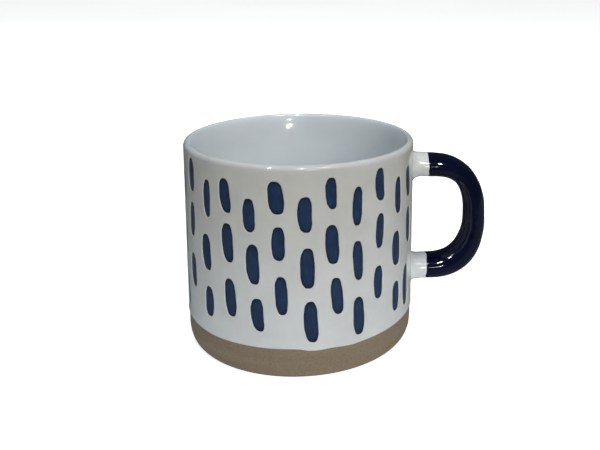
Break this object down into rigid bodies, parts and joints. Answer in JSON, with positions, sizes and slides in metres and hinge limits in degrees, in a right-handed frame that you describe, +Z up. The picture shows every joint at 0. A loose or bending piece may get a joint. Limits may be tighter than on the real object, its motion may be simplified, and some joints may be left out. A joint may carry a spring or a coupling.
{
  "type": "stoneware mug",
  "caption": "Straight-sided stoneware mug with a rounded loop handle, white glaze, recessed cobalt brush strokes in staggered columns, a bare clay foot band and a cobalt handle.",
  "frame": {"origin": "centre of the foot ring, on the plane the mug stands on", "axes": "+Z up along the axis of the cup, +X from that axis toward the handle, +Y completes the right hand"},
  "size_m": [0.129, 0.0966, 0.0866],
  "materials": {
    "stoneware": "matte, bare fired clay",
    "white_glaze": "glossy",
    "cobalt_glaze": "glossy",
    "cobalt_pigment": "satin, brushed underglaze"
  },
  "bodies": {
    "root": {"stoneware_cup": "stoneware", "stoneware_handle": "stoneware", "root_fillet_upper": "stoneware", "root_fillet_lower": "stoneware", "body_glaze": "white_glaze", "liner_glaze": "white_glaze", "root_collar_upper": "white_glaze", "root_collar_lower": "white_glaze", "handle_glaze": "cobalt_glaze", "stroke_column_01": "cobalt_pigment", "stroke_column_02": "cobalt_pigment", "stroke_column_03": "cobalt_pigment", "stroke_column_04": "cobalt_pigment", "stroke_column_05": "cobalt_pigment", "stroke_column_06": "cobalt_pigment", "stroke_column_07": "cobalt_pigment", "stroke_column_08": "cobalt_pigment", "stroke_column_09": "cobalt_pigment", "stroke_column_10": "cobalt_pigment", "stroke_column_11": "cobalt_pigment", "stroke_column_12": "cobalt_pigment", "stroke_column_13": "cobalt_pigment", "stroke_column_14": "cobalt_pigment", "stroke_column_15": "cobalt_pigment", "stroke_column_16": "cobalt_pigment", "stroke_column_17": "cobalt_pigment", "stroke_column_18": "cobalt_pigment", "stroke_column_19": "cobalt_pigment", "stroke_column_20": "cobalt_pigment", "stroke_column_21": "cobalt_pigment", "stroke_column_22": "cobalt_pigment", "stroke_column_23": "cobalt_pigment", "stroke_column_24": "cobalt_pigment", "stroke_column_25": "cobalt_pigment", "stroke_column_26": "cobalt_pigment", "stroke_column_27": "cobalt_pigment", "stroke_column_28": "cobalt_pigment"}
  },
  "joints": []
}
